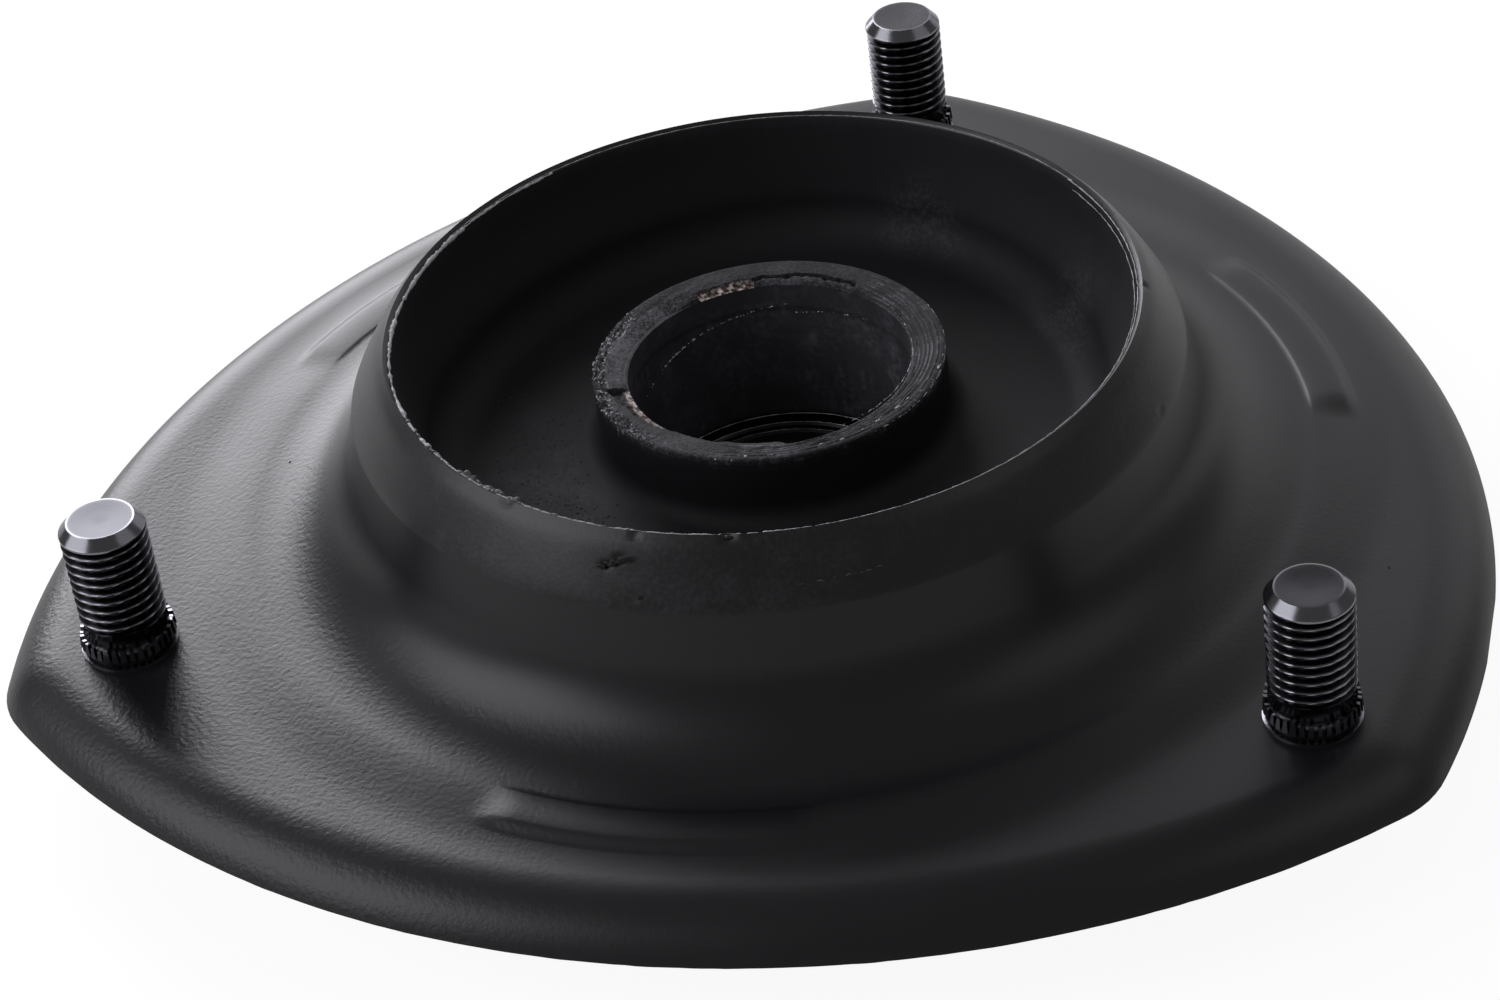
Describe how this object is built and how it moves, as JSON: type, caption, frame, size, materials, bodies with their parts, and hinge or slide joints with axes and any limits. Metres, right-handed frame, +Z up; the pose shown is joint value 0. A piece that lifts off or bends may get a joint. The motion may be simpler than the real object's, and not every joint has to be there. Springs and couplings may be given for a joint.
{
  "type": "strut mount",
  "caption": "Rounded triangular pressed steel strut mount: drawn dome, moulded rubber ring, central sleeve with sealed ball bearing, and threaded studs.",
  "frame": {"origin": "on the bore axis, in the plane of the flat pads round the studs", "axes": "+Z up along the bore, out of the dome; +Y towards one stud; +X to its right"},
  "size_m": [0.173, 0.1769, 0.0415],
  "materials": {
    "plate_paint": "satin black coating over pressed sheet",
    "moulded_rubber": "moulded black rubber, dull, dusty in the trough",
    "stud_steel": "dark oiled phosphate on rolled thread",
    "sleeve_steel": "turned tube, dark, rusty where the coat is torn",
    "bearing_steel": "ground bearing steel",
    "cage_steel": "pressed steel",
    "seal_rubber": "smooth seal rubber"
  },
  "bodies": {
    "mount": {"top_plate": "plate_paint", "stud_1": "stud_steel", "stud_2": "stud_steel", "stud_3": "stud_steel", "rubber_insulator": "moulded_rubber", "inner_sleeve": "sleeve_steel", "bearing_outer_ring": "bearing_steel", "upper_seal": "seal_rubber", "lower_seal": "seal_rubber"},
    "inner_ring": {"bearing_inner_ring": "bearing_steel"},
    "cage": {"ball_cage": "cage_steel"},
    "ball_01_body": {"ball_01": "bearing_steel"},
    "ball_02_body": {"ball_02": "bearing_steel"},
    "ball_03_body": {"ball_03": "bearing_steel"},
    "ball_04_body": {"ball_04": "bearing_steel"},
    "ball_05_body": {"ball_05": "bearing_steel"},
    "ball_06_body": {"ball_06": "bearing_steel"},
    "ball_07_body": {"ball_07": "bearing_steel"},
    "ball_08_body": {"ball_08": "bearing_steel"},
    "ball_09_body": {"ball_09": "bearing_steel"}
  },
  "joints": [
    {"name": "inner_ring_spin", "type": "hinge", "parent": "mount", "child": "inner_ring", "pos_m": [0, 0, -0.01], "axis": [0, 0, 1], "continuous": true},
    {"name": "cage_spin", "type": "hinge", "parent": "mount", "child": "cage", "pos_m": [0, 0, -0.01], "axis": [0, 0, 1], "continuous": true},
    {"name": "ball_01_spin", "type": "hinge", "parent": "cage", "child": "ball_01_body", "pos_m": [0.0135, 0, -0.01], "axis": [0, 0, 1], "continuous": true},
    {"name": "ball_02_spin", "type": "hinge", "parent": "cage", "child": "ball_02_body", "pos_m": [0.01034, 0.00868, -0.01], "axis": [0, 0, 1], "continuous": true},
    {"name": "ball_03_spin", "type": "hinge", "parent": "cage", "child": "ball_03_body", "pos_m": [0.00234, 0.01329, -0.01], "axis": [0, 0, 1], "continuous": true},
    {"name": "ball_04_spin", "type": "hinge", "parent": "cage", "child": "ball_04_body", "pos_m": [-0.00675, 0.01169, -0.01], "axis": [0, 0, 1], "continuous": true},
    {"name": "ball_05_spin", "type": "hinge", "parent": "cage", "child": "ball_05_body", "pos_m": [-0.01269, 0.00462, -0.01], "axis": [0, 0, 1], "continuous": true},
    {"name": "ball_06_spin", "type": "hinge", "parent": "cage", "child": "ball_06_body", "pos_m": [-0.01269, -0.00462, -0.01], "axis": [0, 0, 1], "continuous": true},
    {"name": "ball_07_spin", "type": "hinge", "parent": "cage", "child": "ball_07_body", "pos_m": [-0.00675, -0.01169, -0.01], "axis": [0, 0, 1], "continuous": true},
    {"name": "ball_08_spin", "type": "hinge", "parent": "cage", "child": "ball_08_body", "pos_m": [0.00234, -0.01329, -0.01], "axis": [0, 0, 1], "continuous": true},
    {"name": "ball_09_spin", "type": "hinge", "parent": "cage", "child": "ball_09_body", "pos_m": [0.01034, -0.00868, -0.01], "axis": [0, 0, 1], "continuous": true}
  ],
  "couplings": [
    {"joint": "cage_spin", "follows": "inner_ring_spin", "ratio": 0.39711},
    {"joint": "ball_01_spin", "follows": "inner_ring_spin", "ratio": -2.3269},
    {"joint": "ball_02_spin", "follows": "inner_ring_spin", "ratio": -2.3269},
    {"joint": "ball_03_spin", "follows": "inner_ring_spin", "ratio": -2.3269},
    {"joint": "ball_04_spin", "follows": "inner_ring_spin", "ratio": -2.3269},
    {"joint": "ball_05_spin", "follows": "inner_ring_spin", "ratio": -2.3269},
    {"joint": "ball_06_spin", "follows": "inner_ring_spin", "ratio": -2.3269},
    {"joint": "ball_07_spin", "follows": "inner_ring_spin", "ratio": -2.3269},
    {"joint": "ball_08_spin", "follows": "inner_ring_spin", "ratio": -2.3269},
    {"joint": "ball_09_spin", "follows": "inner_ring_spin", "ratio": -2.3269}
  ]
}
